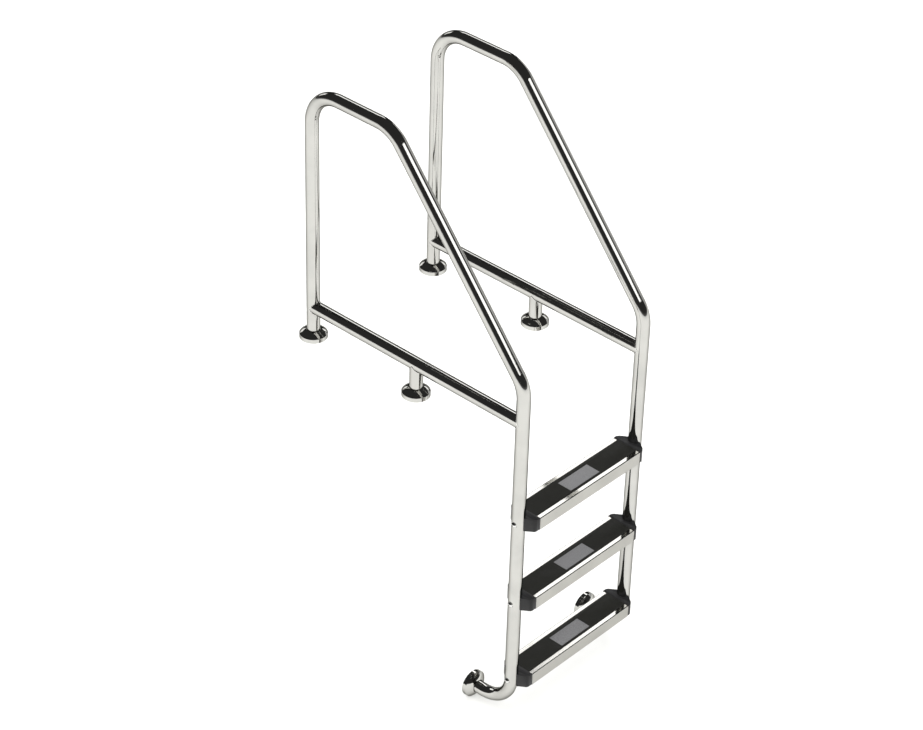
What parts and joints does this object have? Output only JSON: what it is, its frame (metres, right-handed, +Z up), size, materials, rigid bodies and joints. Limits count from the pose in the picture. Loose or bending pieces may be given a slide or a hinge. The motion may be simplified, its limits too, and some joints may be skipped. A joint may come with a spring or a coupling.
{
  "type": "pool ladder",
  "caption": "Stainless pool ladder with tall sloping handrails on deck feet, black-gripped treads, and returns fixed to the pool wall.",
  "frame": {"origin": "on the deck surface, midway between the four deck feet", "axes": "+X to the right of someone climbing out, +Y from the pool to the deck, +Z up"},
  "size_m": [0.633, 0.973, 1.9477],
  "materials": {
    "polished_steel": "mirror-polished stainless steel tube and covers",
    "plate_steel": "turned stainless plate",
    "tread_steel": "polished stainless sheet with faint drawing lines",
    "fastener_steel": "bright stainless fasteners",
    "grip_plastic": "finely textured black grip",
    "pad_plastic": "finely textured plain grey pad",
    "cap_plastic": "moulded black plastic with a fine grain",
    "seal_rubber": "black rubber"
  },
  "bodies": {
    "ladder_frame": {"handrail_left": "polished_steel", "deck_rail_left": "polished_steel", "support_leg_left": "polished_steel", "handrail_right": "polished_steel", "deck_rail_right": "polished_steel", "support_leg_right": "polished_steel", "rear_foot_plate_left": "plate_steel", "rear_foot_plate_right": "plate_steel", "front_foot_plate_left": "plate_steel", "front_foot_plate_right": "plate_steel", "wall_plate_left": "plate_steel", "wall_plate_right": "plate_steel", "top_tread_channel": "tread_steel", "top_tread_grip": "grip_plastic", "top_tread_pad": "pad_plastic", "middle_tread_channel": "tread_steel", "middle_tread_grip": "grip_plastic", "middle_tread_pad": "pad_plastic", "bottom_tread_channel": "tread_steel", "bottom_tread_grip": "grip_plastic", "bottom_tread_pad": "pad_plastic", "top_tread_cap_left": "cap_plastic", "top_tread_cap_right": "cap_plastic", "middle_tread_cap_left": "cap_plastic", "middle_tread_cap_right": "cap_plastic", "bottom_tread_cap_left": "cap_plastic", "bottom_tread_cap_right": "cap_plastic", "step_bolts": "fastener_steel", "step_washers": "fastener_steel", "step_sleeves": "fastener_steel", "step_nuts": "fastener_steel"},
    "rear_foot_cover_left_body": {"rear_foot_cover_left": "polished_steel", "rear_foot_seal_left": "seal_rubber"},
    "rear_foot_cover_right_body": {"rear_foot_cover_right": "polished_steel", "rear_foot_seal_right": "seal_rubber"},
    "front_foot_cover_left_body": {"front_foot_cover_left": "polished_steel", "front_foot_seal_left": "seal_rubber"},
    "front_foot_cover_right_body": {"front_foot_cover_right": "polished_steel", "front_foot_seal_right": "seal_rubber"},
    "wall_cover_left_body": {"wall_cover_left": "polished_steel", "wall_seal_left": "seal_rubber"},
    "wall_cover_right_body": {"wall_cover_right": "polished_steel", "wall_seal_right": "seal_rubber"}
  },
  "joints": [
    {"name": "rear_foot_cover_left_slide", "type": "slide", "parent": "ladder_frame", "child": "rear_foot_cover_left_body", "axis": [0, 0, 1], "range_m": [0, 0.058]},
    {"name": "rear_foot_cover_right_slide", "type": "slide", "parent": "ladder_frame", "child": "rear_foot_cover_right_body", "axis": [0, 0, 1], "range_m": [0, 0.058]},
    {"name": "front_foot_cover_left_slide", "type": "slide", "parent": "ladder_frame", "child": "front_foot_cover_left_body", "axis": [0, 0, 1], "range_m": [0, 0.058]},
    {"name": "front_foot_cover_right_slide", "type": "slide", "parent": "ladder_frame", "child": "front_foot_cover_right_body", "axis": [0, 0, 1], "range_m": [0, 0.058]},
    {"name": "wall_cover_left_slide", "type": "slide", "parent": "ladder_frame", "child": "wall_cover_left_body", "axis": [0, -1, 0], "range_m": [0, 0.016]},
    {"name": "wall_cover_right_slide", "type": "slide", "parent": "ladder_frame", "child": "wall_cover_right_body", "axis": [0, -1, 0], "range_m": [0, 0.016]}
  ]
}
